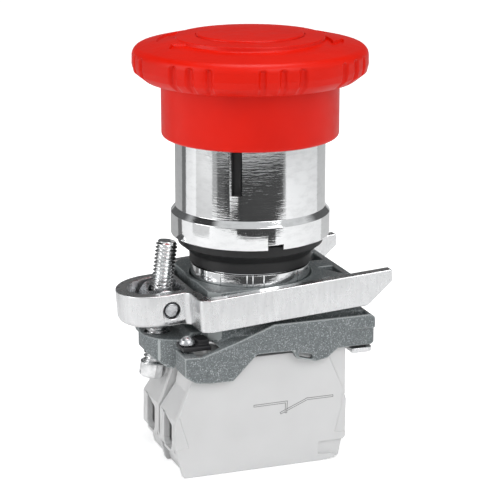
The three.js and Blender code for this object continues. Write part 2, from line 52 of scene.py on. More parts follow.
# ---------------------------------------------------------------- camera
CAMERA_DISTANCE = 0.36
CAMERA_AZIMUTH = math.radians(-20.1)
CAMERA_PITCH = math.radians(14.88)
CAMERA_LENS = 141.77
CAMERA_SHIFT = (-0.0004, -0.0387)


def make_camera():
    data = bpy.data.cameras.new("camera")
    data.lens = CAMERA_LENS
    data.sensor_width = 36
    data.shift_x, data.shift_y = CAMERA_SHIFT
    camera = bpy.data.objects.new("camera", data)
    back = Vector((
        math.sin(CAMERA_AZIMUTH) * math.cos(CAMERA_PITCH),
        -math.cos(CAMERA_AZIMUTH) * math.cos(CAMERA_PITCH),
        math.sin(CAMERA_PITCH),
    ))
    camera.location = back * CAMERA_DISTANCE
    camera.rotation_mode = "QUATERNION"
    camera.rotation_quaternion = (-back).to_track_quat("-Z", "Y")
    bpy.context.scene.collection.objects.link(camera)
    bpy.context.scene.camera = camera


# ---------------------------------------------------------------- materials
def new_material(name, color, metallic, roughness, **values):
    """A Principled material. values sets other sockets by name, with _ for spaces."""
    material = bpy.data.materials.new(name)
    material.use_nodes = True
    tree = material.node_tree
    surface = tree.nodes["Principled BSDF"]
    surface.inputs["Base Color"].default_value = (*color, 1)
    surface.inputs["Metallic"].default_value = metallic
    surface.inputs["Roughness"].default_value = roughness
    for key, value in values.items():
        surface.inputs[key.replace("_", " ")].default_value = value
    return material, tree, surface


def coordinates(tree, scale):
    """Object coordinates in millimetres, stretched by scale along x, y and z."""
    place = tree.nodes.new("ShaderNodeTexCoord")
    mapping = tree.nodes.new("ShaderNodeMapping")
    mapping.inputs["Scale"].default_value = [1000 * s for s in scale]
    tree.links.new(place.outputs["Object"], mapping.inputs["Vector"])
    return mapping.outputs["Vector"]


def noise(tree, scale=(1, 1, 1), detail=3, rough=0.5):
    """Smooth noise, about one feature for each millimetre at scale 1."""
    node = tree.nodes.new("ShaderNodeTexNoise")
    node.inputs["Scale"].default_value = 1
    node.inputs["Detail"].default_value = detail
    node.inputs["Roughness"].default_value = rough
    tree.links.new(coordinates(tree, scale), node.inputs["Vector"])
    return node.outputs["Fac"]


def remap(tree, value, low, high, to_low, to_high):
    """value carried from the range low to high over to another range, and held inside it."""
    node = tree.nodes.new("ShaderNodeMapRange")
    for key, number in zip(("From Min", "From Max", "To Min", "To Max"), (low, high, to_low, to_high)):
        node.inputs[key].default_value = number
    tree.links.new(value, node.inputs["Value"])
    return node.outputs["Result"]


def blend_colors(tree, fac, first, second):
    """The first colour where fac is 0 and the second where it is 1."""
    node = tree.nodes.new("ShaderNodeMix")
    node.data_type = "RGBA"
    tree.links.new(fac, node.inputs["Factor"])
    for socket, color in ((node.inputs["A"], first), (node.inputs["B"], second)):
        if isinstance(color, tuple):
            socket.default_value = (*color, 1)
        else:
            tree.links.new(color, socket)
    return node.outputs["Result"]


def math_node(tree, operation, first, second):
    node = tree.nodes.new("ShaderNodeMath")
    node.operation = operation
    tree.links.new(first, node.inputs[0])
    tree.links.new(second, node.inputs[1])
    return node.outputs["Value"]


def add_values(tree, first, second):
    return math_node(tree, "ADD", first, second)


def multiply(tree, first, second):
    return math_node(tree, "MULTIPLY", first, second)


def bump(tree, surface, height, distance_mm):
    """Lets height, from 0 to 1, raise the surface by up to distance_mm in its shading."""
    node = tree.nodes.new("ShaderNodeBump")
    node.inputs["Strength"].default_value = 1
    node.inputs["Distance"].default_value = distance_mm * MM
    tree.links.new(height, node.inputs["Height"])
    tree.links.new(node.outputs["Normal"], surface.inputs["Normal"])


def edges(tree, low, high):
    """0 on flats and in hollows, 1 on sharp edges, where a painted highlight goes."""
    node = tree.nodes.new("ShaderNodeNewGeometry")
    return remap(tree, node.outputs["Pointiness"], low, high, 0, 1)


def moulded_plastic(name, dark, light, roughness, grain=0.004, **values):
    """Plastic with a slow drift of tone, a fine moulded grain and a slightly uneven gloss."""
    material, tree, surface = new_material(name, light, 0, roughness, **values)
    drift = remap(tree, noise(tree, (0.12, 0.12, 0.12), 2), 0.3, 0.7, 0, 1)
    tree.links.new(blend_colors(tree, drift, dark, light), surface.inputs["Base Color"])
    gloss = remap(tree, noise(tree, (0.5, 0.5, 0.5), 4), 0.3, 0.7, roughness - 0.05, roughness + 0.05)
    tree.links.new(gloss, surface.inputs["Roughness"])
    bump(tree, surface, noise(tree, (5, 5, 5), 4, 0.6), grain)
    return material


def turned_metal(name, color, roughness, ring_depth, blotch=0.08):
    """Lathe-turned plating: fine rings round Z that wander a little, slight pits and dull blotches."""
    material, tree, surface = new_material(name, color, 1, roughness)
    rings = noise(tree, (0.35, 0.35, 3.4), 2, 0.6)
    pitting = remap(tree, noise(tree, (3, 3, 3), 3, 0.7), 0, 1, 0, 0.35)
    dull = remap(tree, noise(tree, (0.3, 0.3, 0.5), 4), 0.35, 0.75, roughness, roughness + blotch)
    tree.links.new(dull, surface.inputs["Roughness"])
    tint = remap(tree, noise(tree, (0.5, 0.5, 1.0), 4, 0.6), 0.45, 0.8, 0, 1)
    darker = tuple(0.85 * c for c in color)
    tree.links.new(blend_colors(tree, tint, color, darker), surface.inputs["Base Color"])
    bump(tree, surface, add_values(tree, rings, pitting), ring_depth)
    return material


def plated_casting(name, color, roughness, depth):
    """Bright plating over a die casting: nearly smooth, with faint draw marks and soft ripples."""
    material, tree, surface = new_material(name, color, 1, roughness)
    marks = noise(tree, (1.4, 1.4, 0.22), 3, 0.5)
    ripples = noise(tree, (0.35, 0.35, 0.35), 2)
    gloss = remap(tree, noise(tree, (0.6, 0.6, 0.3), 4), 0.3, 0.7, roughness - 0.05, roughness + 0.07)
    tree.links.new(gloss, surface.inputs["Roughness"])
    darker = tuple(0.93 * c for c in color)
    base = blend_colors(tree, remap(tree, marks, 0.4, 0.7, 0, 1), color, darker)
    pits = remap(tree, noise(tree, (3.2, 3.2, 2.0), 3, 0.6), 0.62, 0.72, 0, 0.3)
    tree.links.new(blend_colors(tree, pits, base, (0.3, 0.31, 0.32)), surface.inputs["Base Color"])
    bump(tree, surface, add_values(tree, marks, ripples), depth)
    return material


def blasted_casting(name):
    """Shot-blasted zinc: an even grey with fine bright specks, and a painted highlight along its sharp
    edges.
    """
    material, tree, surface = new_material(name, (0.18, 0.2, 0.2), 0.35, 0.55)
    mottle = remap(tree, noise(tree, (2.6, 2.6, 2.6), 5, 0.7), 0.35, 0.68, 0, 1)
    base = blend_colors(tree, mottle, (0.13, 0.147, 0.152), (0.21, 0.23, 0.235))
    specks = remap(tree, noise(tree, (5.5, 5.5, 5.5), 2, 0.5), 0.57, 0.68, 0, 0.85)
    speckled = blend_colors(tree, specks, base, (0.56, 0.59, 0.6))
    # painted highlight: the sharp edges made paler, for the light lines that they catch
    edge_highlight = blend_colors(tree, edges(tree, 0.515, 0.56), speckled, (0.44, 0.47, 0.47))
    tree.links.new(edge_highlight, surface.inputs["Base Color"])
    gloss = remap(tree, noise(tree, (3, 3, 3), 3), 0.3, 0.7, 0.42, 0.62)
    tree.links.new(gloss, surface.inputs["Roughness"])
    bump(tree, surface, noise(tree, (5, 5, 5), 4, 0.6), 0.035)
    return material


def drawn_metal(name, color, roughness, grain=0.006):
    """Plated or drawn metal with short fine scratches and a slow change of tone."""
    material, tree, surface = new_material(name, color, 1, roughness)
    tone = remap(tree, noise(tree, (0.7, 0.7, 0.7), 4), 0.35, 0.7, 0, 1)
    darker = tuple(0.7 * c for c in color)
    tree.links.new(blend_colors(tree, tone, color, darker), surface.inputs["Base Color"])
    gloss = remap(tree, noise(tree, (2, 2, 2), 3), 0.3, 0.7, roughness - 0.08, roughness + 0.1)
    tree.links.new(gloss, surface.inputs["Roughness"])
    bump(tree, surface, noise(tree, (9, 3, 5), 3), grain)
    return material


RED = moulded_plastic("red_plastic", (0.67, 0.007, 0.0), (0.74, 0.009, 0.0005), 0.36, 0.003,
                      Specular_IOR_Level=0.2)
CHROME = turned_metal("chromed_barrel", (0.90, 0.905, 0.91), 0.05, 0.010, 0.04)
YOKE_METAL = plated_casting("bright_zinc", (0.79, 0.795, 0.80), 0.27, 0.006)
CAST = blasted_casting("cast_zinc")
STEEL = drawn_metal("steel", (0.66, 0.67, 0.69), 0.26)
PLATED = drawn_metal("plated_steel", (0.78, 0.79, 0.80), 0.42, 0.003)
SCREW_METAL = drawn_metal("screw_metal", (0.93, 0.935, 0.94), 0.14, 0.0005)
SPRING = drawn_metal("spring_steel", (0.5, 0.5, 0.52), 0.3)
BRASS = drawn_metal("brass", (0.72, 0.52, 0.22), 0.32)
RUBBER = moulded_plastic("gasket_rubber", (0.008, 0.008, 0.0085), (0.014, 0.014, 0.0145), 0.5, 0.01)
BLACK = moulded_plastic("black_plastic", (0.012, 0.012, 0.013), (0.022, 0.022, 0.024), 0.42, 0.006)
WHITE = moulded_plastic("white_plastic", (0.74, 0.73, 0.69), (0.8, 0.79, 0.75), 0.45, 0.004)
GREY = moulded_plastic("grey_plastic", (0.645, 0.645, 0.645), (0.69, 0.69, 0.69), 0.42, 0.004)
# painted shade: a dark copy of the grey plastic, for the shaded walls of the engraved sign's lines
GROOVE_SHADE = moulded_plastic("grey_plastic_groove_shade", (0.22, 0.22, 0.22), (0.27, 0.27, 0.27), 0.6, 0.01)


# ---------------------------------------------------------------- meshes
def to_object(name, bm, material):
    bmesh.ops.recalc_face_normals(bm, faces=bm.faces[:])
    mesh = bpy.data.meshes.new(name)
    bm.to_mesh(mesh)
    bm.free()
    mesh.materials.append(material)
    item = bpy.data.objects.new(name, mesh)
    bpy.context.scene.collection.objects.link(item)
    return item


def settle(item):
    """The object's mesh with its modifiers applied."""
    graph = bpy.context.evaluated_depsgraph_get()
    mesh = bpy.data.meshes.new_from_object(item.evaluated_get(graph))
    item.modifiers.clear()
    item.data = mesh
    return item


def smooth(item, angle=35):
    """Smooth shading that breaks at edges sharper than angle."""
    item.data.shade_smooth()
    item.data.set_sharp_from_angle(angle=math.radians(angle))
    return item


def fillet(points, radius, steps=4, closed=True):
    """The outline with each corner rounded. radius is one number, or one for each point."""
    count = len(points)
    radii = radius if isinstance(radius, (list, tuple)) else [radius] * count
    result = []
    for i, here in enumerate(points):
        if not closed and i in (0, count - 1):
            result.append(here)
            continue
        p = Vector(here)
        to_last = Vector(points[i - 1]) - p
        to_next = Vector(points[(i + 1) % count]) - p
        turn = to_last.angle(to_next, math.pi)
        if radii[i] <= 0 or turn > math.radians(178):
            result.append(here)
            continue
        reach = min(radii[i] / math.tan(turn / 2), 0.45 * to_last.length, 0.45 * to_next.length)
        bulge = reach * math.tan(turn / 2)
        middle = p + (to_last.normalized() + to_next.normalized()).normalized() * (
            bulge / math.sin(turn / 2))
        start = p + to_last.normalized() * reach - middle
        end = p + to_next.normalized() * reach - middle
        sweep = start.angle_signed(end)
        for k in range(steps + 1):
            a = -sweep * k / steps
            result.append((middle.x + start.x * math.cos(a) - start.y * math.sin(a),
                           middle.y + start.x * math.sin(a) + start.y * math.cos(a)))
    return result


def lathe(name, profile, material, sides=192, shift=None):
    """profile (r, z) turned about Z. It closes on itself unless it starts and ends on the axis.
    shift(r, z, angle) may move each point."""
    on_axis = profile[0][0] < 1e-9
    bm = bmesh.new()
    rings = []
    for r, z in profile:
        if r < 1e-9:
            rings.append([bm.verts.new((0, 0, z * MM))] * sides)
            continue
        ring = []
        for k in range(sides):
            a = 2 * math.pi * k / sides
            rr, zz = shift(r, z, a) if shift else (r, z)
            ring.append(bm.verts.new((rr * math.cos(a) * MM, rr * math.sin(a) * MM, zz * MM)))
        rings.append(ring)
    pairs = list(zip(rings, rings[1:])) + ([] if on_axis else [(rings[-1], rings[0])])
    for low, high in pairs:
        for k in range(sides):
            corners = [low[k], low[(k + 1) % sides], high[(k + 1) % sides], high[k]]
            unique = list(dict.fromkeys(corners))
            if len(unique) > 2:
                bm.faces.new(unique)
    return to_object(name, bm, material)


def prism(name, outline, low, high, material, plane="xz"):
    """An outline raised along the third axis from low to high."""
    place = {
        "xy": lambda u, v, w: (u, v, w),
        "xz": lambda u, v, w: (u, w, v),
        "yz": lambda u, v, w: (w, u, v),
    }[plane]
    bm = bmesh.new()
    ends = [[bm.verts.new([c * MM for c in place(u, v, w)]) for u, v in outline] for w in (low, high)]
    for end in ends:
        bm.faces.new(end)
    count = len(outline)
    for k in range(count):
        n = (k + 1) % count
        bm.faces.new((ends[0][k], ends[0][n], ends[1][n], ends[1][k]))
    return to_object(name, bm, material)


def block(name, x0, x1, y0, y1, z0, z1, material):
    """A plain box."""
    return prism(name, [(x0, z0), (x1, z0), (x1, z1), (x0, z1)], y0, y1, material)


def tube(name, path, radius, material, sides):
    """A round wire of that radius along a path of points, closed at both ends."""
    bm = bmesh.new()
    points = [Vector(p) for p in path]
    up = Vector((0, 0, 1))
    rings = []
    for i, p in enumerate(points):
        along = (points[min(i + 1, len(points) - 1)] - points[max(i - 1, 0)]).normalized()
        side = along.cross(up).normalized()
        lift = side.cross(along)
        rings.append([
            bm.verts.new((p + radius * (side * math.cos(a) + lift * math.sin(a))) * MM)
            for a in (2 * math.pi * k / sides for k in range(sides))
        ])
    for low, high in zip(rings, rings[1:]):
        for k in range(sides):
            n = (k + 1) % sides
            bm.faces.new((low[k], low[n], high[n], high[k]))
    bm.faces.new(rings[0])
    bm.faces.new(rings[-1])
    return to_object(name, bm, material)


def combine(item, others, operation="DIFFERENCE"):
    """item cut by or joined with the others, which are used up."""
    for other in others:
        modifier = item.modifiers.new("combine", "BOOLEAN")
        modifier.operation = operation
        modifier.object = other
        modifier.solver = "EXACT"
    settle(item)
    for other in others:
        bpy.data.objects.remove(other)
    return item


def shade(item):
    """Smooth shading that keeps flats flat and the sharpest edges crisp."""
    item.data.shade_smooth()
    item.data.set_sharp_from_angle(angle=math.radians(60))
    weighted = item.modifiers.new("weighted", "WEIGHTED_NORMAL")
    weighted.keep_sharp = True
    return settle(item)


def soften(item, width, segments=3, angle=32):
    """Rounds every edge sharper than angle."""
    bm = bmesh.new()
    bm.from_mesh(item.data)
    bmesh.ops.remove_doubles(bm, verts=bm.verts[:], dist=WELD * MM)
    bmesh.ops.dissolve_limit(bm, angle_limit=math.radians(0.5), verts=bm.verts[:], edges=bm.edges[:])
    bmesh.ops.dissolve_degenerate(bm, dist=0.04 * MM, edges=bm.edges[:])
    bm.to_mesh(item.data)
    bm.free()
    bevel = item.modifiers.new("bevel", "BEVEL")
    bevel.width = width * MM
    bevel.segments = segments
    bevel.limit_method = "ANGLE"
    bevel.angle_limit = math.radians(angle)
    bevel.use_clamp_overlap = False
    bevel.miter_outer = "MITER_ARC"
    settle(item)
    return shade(item)


def placed(item, matrix):
    item.data.transform(matrix)
    return item


def turned(item, degrees):
    return placed(item, Matrix.Rotation(math.radians(degrees), 4, "Z"))


def fit(item, body, slot, *replaced):
    """Puts the item on a body, with the CAD nodes that it stands for. slot is not used."""
    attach(item, body)
    if replaced:
        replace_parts(item, *replaced)
    return item


# ---------------------------------------------------------------- mushroom
CAP_TURN = -4.4                     # degrees
GRIP_STEP = 9.8                     # degrees between the three grooves of one grip
GRIP_ANGLES = [270 + CAP_TURN + 45 * k + s for k in range(8) for s in (-GRIP_STEP, 0, GRIP_STEP)]
GRIP_DEPTH = 0.62
GRIP_Z = (30.1, 32.75)              # where the grooves' round ends begin
GRIP_WALL = (0.32, 0.85)            # a groove's flat bottom and its outer edge, from its middle
RIM_R = 19                          # the grooves lie outside this radius
RIM_Z = (29.2, 34.4)                # and between these heights; the cap's top is above them
ARROW_DEPTH = 0.5
DISC_R = 9.9                        # inside it sits the centre disc
ARROW_R = (13.42, 15.0, 16.6)       # inner edge, point and notch, outer edge
ARROW_STARTS = (4, 184)             # object angles of the two arrows' points
ARROW_SHOULDER = 8.5                # degrees from the point to its shoulders
ARROW_NOTCH = 145                   # degrees from the point to the notch in the tail
ARROW_TAIL = 162                    # degrees from the point to the tail's two ends


def ramp(value, low, high):
    """0 below low and 1 above high, with a smooth rise between them."""
    t = min(max((value - low) / (high - low), 0), 1)
    return t * t * (3 - 2 * t)


def arrow_depth(r, angle):
    """How far the arrows on the cap's top go down at a point, in millimetres."""
    inner, middle, outer = ARROW_R
    if not inner - 0.3 < r < outer + 0.3:
        return 0
    half = (outer - inner) / 2
    off = min(abs(r - middle) / half, 1)
    deepest = 0
    for start in ARROW_STARTS:
        along = (math.degrees(angle) - start) % 360
        first = ARROW_SHOULDER * off
        last = ARROW_NOTCH + (ARROW_TAIL - ARROW_NOTCH) * off
        mm = math.radians(1) * r
        inside = min((along - first) * mm, (last - along) * mm, r - inner, outer - r)
        deepest = max(deepest, ramp(inside, -0.09, 0.11))
    return ARROW_DEPTH * deepest


def grip_depth(r, z, angle):
    """How far the finger grooves on the rim go in."""
    if r < RIM_R or not RIM_Z[0] < z < RIM_Z[1]:
        return 0
    degrees = math.degrees(angle)
    off = min(abs((degrees - g + 180) % 360 - 180) for g in GRIP_ANGLES) * math.radians(1) * r
    past = max(z - GRIP_Z[1], GRIP_Z[0] - z, 0)
    return GRIP_DEPTH * (1 - ramp(math.hypot(off, past * 1.1), *GRIP_WALL))


def cap_shift(r, z, angle):
    """Where a point of the cap's plain turned shape ends up."""
    if z > RIM_Z[1] and r > DISC_R:
        return r, z - arrow_depth(r, angle)
    return r - grip_depth(r, z, angle), z


def subdivided(points, step):
    """Extra points along a line of points, none further apart than step."""
    result = []
    for (r0, z0), (r1, z1) in zip(points, points[1:]):
        count = max(1, math.ceil(math.hypot(r1 - r0, z1 - z0) / step))
        result += [(r0 + (r1 - r0) * k / count, z0 + (z1 - z0) * k / count) for k in range(count)]
    return result + [points[-1]]


def mushroom():
    underside = fillet([(6.6, 21.8), (6.6, 32.6), (14.0, 31.8), (14.0, 18.3), (14.4, 18.0),
                        (16.05, 18.0), (16.05, 28.5), (19.0, 28.5), (20.9, 30.0)],
                       [0, 0.5, 1, 0, 0, 1.4, 0.5, 0.3, 0], 5, closed=False)
    rim = fillet([(20.9, 30.0), (21.2, 31.2), (21.15, 34.1), (17.5, 34.95), (16.1, 35.25)],
                 [0, 1.2, 2.1, 2, 0], 8, closed=False)
    top = fillet([(16.1, 35.25), (13.42, 35.72), (13.3, 36.0), (9.85, 36.25), (9.8, 36.08)],
                 [0, 0.05, 0.1, 0.1, 0], 3, closed=False)
    boss = [(9.5, 36.08), (9.5, 35.6), (5.4, 35.6), (5.4, 33.2), (2.2, 33.2), (2.2, 31.0),
            (4.3, 31.0), (4.3, 21.8)]
    profile = underside[:-1] + subdivided(rim, 0.17)[:-1] + subdivided(top, 0.13) + boss
    cap = lathe("mushroom", profile, RED, 720, cap_shift)
    return fit(smooth(cap, 50), "mushroom", "red_plastic", "mushroom_cap")


def centre_badge():
    disc = lathe("centre_cover", [(0, 35.7)] + fillet(
        [(5.0, 35.7), (5.0, 35.95), (9.4, 35.95), (9.4, 36.16), (9.72, 36.16), (9.55, 36.55), (5, 36.72)],
        [0, 0, 0, 0, 0.06, 0.45, 3], 6, closed=False) + [(0, 36.75)], RED, 192)
    return fit(smooth(disc), "mushroom", "red_plastic", "centre_disc")


# ---------------------------------------------------------------- barrel and gasket
SLOT_ANGLE = 239.3                  # the key slot down the barrel's side
SLOT_HALF = 0.85
SLOT_Z = (9.8, 22)
NOTCH_ANGLE = 268.2                 # the notch in the flange's lower edge
NOTCH_HALF = 1.45
SEAM_ANGLES = (221, 247, 252.5, 263, 301, 41, 67, 121)
SEAM_HALF = 0.11
DIMPLE_ANGLE = 246.5                # a small moulding mark on the gasket's lip
DIMPLE_Z = -0.9
DIMPLE_DEPTH = 0.18


def flared_slot():
    """A cutter that breaks the outer edges of the key slot."""
    bm = bmesh.new()
    ends = []
    for x, grow, drop in ((13.3, 0, 0), (13.9, 0.5, 0.2)):
        side, foot = SLOT_HALF - 0.01 + grow, SLOT_Z[0] + 0.01 - drop
        ends.append([bm.verts.new((x * MM, y * MM, z * MM))
                     for y, z in ((-side, foot), (side, foot), (side, SLOT_Z[1]), (-side, SLOT_Z[1]))])
    for k in range(4):
        bm.faces.new((ends[0][k], ends[0][(k + 1) % 4], ends[1][(k + 1) % 4], ends[1][k]))
    bm.faces.new(ends[0])
    bm.faces.new(ends[1])
    return to_object("slot_edge", bm, CHROME)


def barrel():
    profile = fillet([
        (8.8, -17.9), (10.55, -17.9), (10.95, -17.5), (10.95, -5.46), (10.2, -5.46), (10.2, 0.6),
        (13.6, 0.6), (13.6, 0.0), (14.5, 0.0), (14.5, 4.16), (13.65, 5.2), (13.65, 21.4),
        (12.0, 21.4), (12.0, 3.0), (8.8, 3.0),
    ], [0, 0.1, 0.1, 0.08, 0, 0, 0, 0, 0.22, 0.16, 0.12, 0.4, 0.1, 0, 0], 4)
    body = lathe("bezel_and_tube", profile, CHROME, 256)
    slot = block("slot", 10.5, 15, -SLOT_HALF, SLOT_HALF, *SLOT_Z, CHROME)
    notch = block("notch", 13.2, 15, -NOTCH_HALF, NOTCH_HALF, -1, 1.05, CHROME)
    cutters = [turned(slot, SLOT_ANGLE), turned(flared_slot(), SLOT_ANGLE), turned(notch, NOTCH_ANGLE)]
    for angle in SEAM_ANGLES:
        seam = block("seam", 10.8, 12, -SEAM_HALF, SEAM_HALF, -17.0, -5.0, CHROME)
        cutters.append(turned(seam, angle))
    combine(body, cutters)
    return fit(smooth(body, 30), "fixed", "chromed_barrel", "barrel")


def gasket():
    profile = fillet([
        (10.5, -5.16), (11.15, -5.16), (11.2, -3.2), (12.75, -1.85), (13.25, -1.5), (13.3, 0.3),
        (10.5, 0.3),
    ], [0, 0.15, 1.0, 0.3, 0.25, 0.15, 0], 5)

    def dimple(r, z, angle):
        off = (math.degrees(angle) - DIMPLE_ANGLE + 180) % 360 - 180
        near = math.hypot(off * 0.22, z - DIMPLE_Z)
        return (r - DIMPLE_DEPTH * (1 - ramp(near, 0.25, 0.5)) if r > 12 else r), z

    ring = lathe("panel_gasket_ring", subdivided(profile + profile[:1], 0.2)[:-1], RUBBER, 360, dimple)
    return fit(smooth(ring), "fixed", "gasket_rubber", "panel_gasket")


# ---------------------------------------------------------------- collar
CAST_VOXEL = 0.18                   # the collar's edges come out about this round
RIVET_AT = (-15.9, -10.9)
RIVET_R = 1.4
RIVET_SHANK_R = 0.8
RIVET_Z = (-18.9, -16.5, -15.17)    # the shank's foot, the dome's foot and its top
BAND_Z = (-18.2, -17.3)             # the lock ring, and below it the lever that turns it
LEVER_Z = (-20.6, -19.7)
LEVER_OUTLINE = [(14.2, -4.0), (15.4, -4.0), (18.3, -8.0), (18.3, -15.0), (14.2, -15.0)]


def cad_copy(node, name, material):
    """A new object with a CAD node's mesh, for a piece whose shape starts from it."""
    bm = bmesh.new()
    bm.from_mesh(nodes[node].data)
    bmesh.ops.remove_doubles(bm, verts=bm.verts[:], dist=0.001 * MM)
    return to_object(name, bm, material)


def melted(item, voxel, rounds):
    """Rounds every edge of a casting: a fine voxel remesh, then smoothing."""
    remesh = item.modifiers.new("remesh", "REMESH")
    remesh.mode = "VOXEL"
    remesh.voxel_size = voxel * MM
    relax = item.modifiers.new("relax", "SMOOTH")
    relax.factor = 0.5
    relax.iterations = rounds
    settle(item)
    item.data.shade_smooth()
    return item


def collar():
    body = cad_copy("collar_body", "collar", CAST)
    melted(body, CAST_VOXEL, 5)
    return fit(body, "fixed", "cast_zinc", "collar_body")


def catch():
    # painted shade: the catch is given the black plastic to stand for the shade that the yoke casts on
    # the collar here
    body = cad_copy("block_catch", "block_catch_painted_shade", BLACK)
    soften(body, 0.15)
    fit(body, "fixed", "black_plastic", "block_catch")
    x, y = RIVET_AT
    low, foot, top = RIVET_Z
    dome = [(RIVET_R * math.cos(a), foot + RIVET_R * math.sin(a) * 0.95)
            for a in (math.radians(d) for d in range(0, 90, 9))]
    shank = [(0, low), (RIVET_SHANK_R, low), (RIVET_SHANK_R, foot)]
    rivet = lathe("catch_rivet_head", shank + dome + [(0, top)], STEEL, 48)
    placed(rivet, Matrix.Translation((x * MM, y * MM, 0)))
    return fit(smooth(rivet), "fixed", "steel", "catch_rivet")


def lock_lever():
    low, high = BAND_Z
    band = lathe("lock_lever", [(11.3, low), (13.3, low), (13.3, high), (11.3, high)], YOKE_METAL, 128)
    arm = block("arm", 12.2, 15.4, -7.4, -4.0, low, high, YOKE_METAL)
    drop = block("drop", 14.2, 15.4, -7.4, -4.0, LEVER_Z[0], high - 0.05, YOKE_METAL)
    lever = prism("lever", fillet(LEVER_OUTLINE, [0, 0.5, 1.5, 1.2, 0.4], 5), *LEVER_Z, YOKE_METAL, "xy")
    combine(band, [arm, drop, lever], "UNION")
    soften(band, 0.14)
    return fit(band, "lock_lever", "bright_zinc", "lock_ring")


# ---------------------------------------------------------------- yoke, nut and screw
FULCRUM = Vector((7, 0, -9.78))
YOKE_TILT = math.radians(3.9)
YOKE_HALF = 3                       # half the yoke's height
EYE_X = -18.3                       # the middle of the eye that the screw passes through
EYE_R = 7.1
POCKET_R = 5
NUT_ARM = 24.4
NUT_AT = FULCRUM - NUT_ARM * Vector((math.cos(YOKE_TILT), 0, math.sin(YOKE_TILT)))
NUT_R = 2.95
NUT_HALF = 4.2
NUT_PIN_R = 1.25
NUT_BORE_R = 2.4                    # wide of the thread, so that the yoke can tilt
SCREW_LEAN = math.radians(7.15)
TO_YOKE = Matrix.Translation(FULCRUM * MM) @ Matrix.Rotation(-YOKE_TILT, 4, "Y")
TO_SCREW = Matrix.Translation(NUT_AT * MM) @ Matrix.Rotation(SCREW_LEAN, 4, "Y")


def mirrored(points):
    """The (x, y) points on the other side of the part's middle plane."""
    return [(x, -y) for x, y in points]


def taper_eye(item):
    """Draws the outside of the eye in towards its lower edge."""
    centre = (EYE_X - FULCRUM.x) * MM
    bm = bmesh.new()
    bm.from_mesh(item.data)
    bmesh.ops.remove_doubles(bm, verts=bm.verts[:], dist=WELD * MM)
    for z in (-1.9, -2.55):
        bmesh.ops.bisect_plane(bm, geom=bm.verts[:] + bm.edges[:] + bm.faces[:],
                               plane_co=(0, 0, z * MM), plane_no=(0, 0, 1))
    for vert in bm.verts:
        x, y, z = vert.co.x - centre, vert.co.y, vert.co.z / MM
        r = math.hypot(x, y)
        if x < 0.001 * MM and r > 6.5 * MM and z < -2:
            draw = 0.2 if z > -2.8 else 0.8
            vert.co.x = centre + x * (1 - draw * MM / r)
            vert.co.y = y * (1 - draw * MM / r)
    bm.to_mesh(item.data)
    bm.free()


def yoke():
    """Made level with the fulcrum at the origin, then tilted into place."""
    eye = [(EYE_X + EYE_R * math.cos(a), EYE_R * math.sin(a))
           for a in (math.radians(90 + 3 * k) for k in range(31))]
    half = fillet([(22.4, 14.2), (-12.4, 14.2), (-13.9, 13.4), (-14.2, 12.2), (-14.2, 7.9),
                   (-14.9, EYE_R)], [0.25, 1.2, 0.8, 0.6, 0.8, 0], 5, closed=False) + eye
    inner = fillet([(-13.0, 0), (-13.0, 6.8), (-12.4, 7.6), (-12.4, 10.9), (-11.2, 12.2),
                    (22.4, 12.2)], [0, 0.4, 0.5, 0.8, 0.8, 0], 5, closed=False)[1:]
    outline = half + mirrored(half[:-1])[::-1] + mirrored(inner)[::-1] + inner
    shift = [(x - FULCRUM.x, y) for x, y in outline]
    body = prism("yoke", shift, -YOKE_HALF, YOKE_HALF, YOKE_METAL, "xy")

    round_end = [(EYE_X + POCKET_R * math.cos(a), POCKET_R * math.sin(a))
                 for a in (math.radians(90 + 4 * k) for k in range(46))]
    pocket = [(-13.9, POCKET_R), (-13.9, -POCKET_R)] + round_end[::-1]
    cutters = [prism("pocket", [(x - FULCRUM.x, y) for x, y in pocket], -4, 4, YOKE_METAL, "xy")]
    cutters.append(prism("tips", [(9.9, -3.4), (10.4, -3.0), (15.6, 1.0), (18, 1.0), (18, -3.4)],
                         -16, 16, YOKE_METAL))
    for radius, x, reach in ((1.55, -NUT_ARM, 8), (1.8, 0, 13.6)):
        hole = lathe("hole", [(0, -reach), (radius, -reach), (radius, reach), (0, reach)],
                     YOKE_METAL, 48)
        placed(hole, Matrix.Rotation(math.radians(90), 4, "X"))
        placed(hole, Matrix.Translation((x * MM, 0, 0)))
        cutters.append(hole)
    combine(body, cutters)
    taper_eye(body)
    soften(body, 0.22)
    placed(body, TO_YOKE)
    return fit(body, "yoke", "bright_zinc", "clamp_yoke")


def nut():
    """A cross nut: a short barrel with a pin at each end, and a flat on one side of each pin's tip."""
    barrel_shape = fillet([(0, -NUT_HALF), (NUT_R, -NUT_HALF), (NUT_R, NUT_HALF), (0, NUT_HALF)],
                          [0, 0.3, 0.3, 0], 4, closed=False)
    body = lathe("nut", barrel_shape, STEEL, 72)
    pins = []
    for side in (-1, 1):
        pin = lathe("pin", fillet([(0, 3.9), (NUT_PIN_R, 3.9), (NUT_PIN_R, 6.95), (0, 6.7)],
                                  [0, 0, 0.25, 0], 4, closed=False), STEEL, 48)
        cut = block("pin_cut", 0.75, 2, -2, 2, 6.2, 8, STEEL)
        combine(pin, [cut])
        pins.append(placed(pin, Matrix.Rotation(math.pi * (side < 0), 4, "X")))
    combine(body, pins, "UNION")
    placed(body, Matrix.Rotation(math.radians(90), 4, "X"))
    hole = lathe("hole", [(0, -5), (NUT_BORE_R, -5), (NUT_BORE_R, 5), (0, 5)], STEEL, 64)
    combine(body, [placed(hole, Matrix.Rotation(SCREW_LEAN, 4, "Y"))])
    smooth(body, 30)
    placed(body, Matrix.Translation(NUT_AT * MM))
    return fit(body, "nut", "steel", "trunnion_nut")


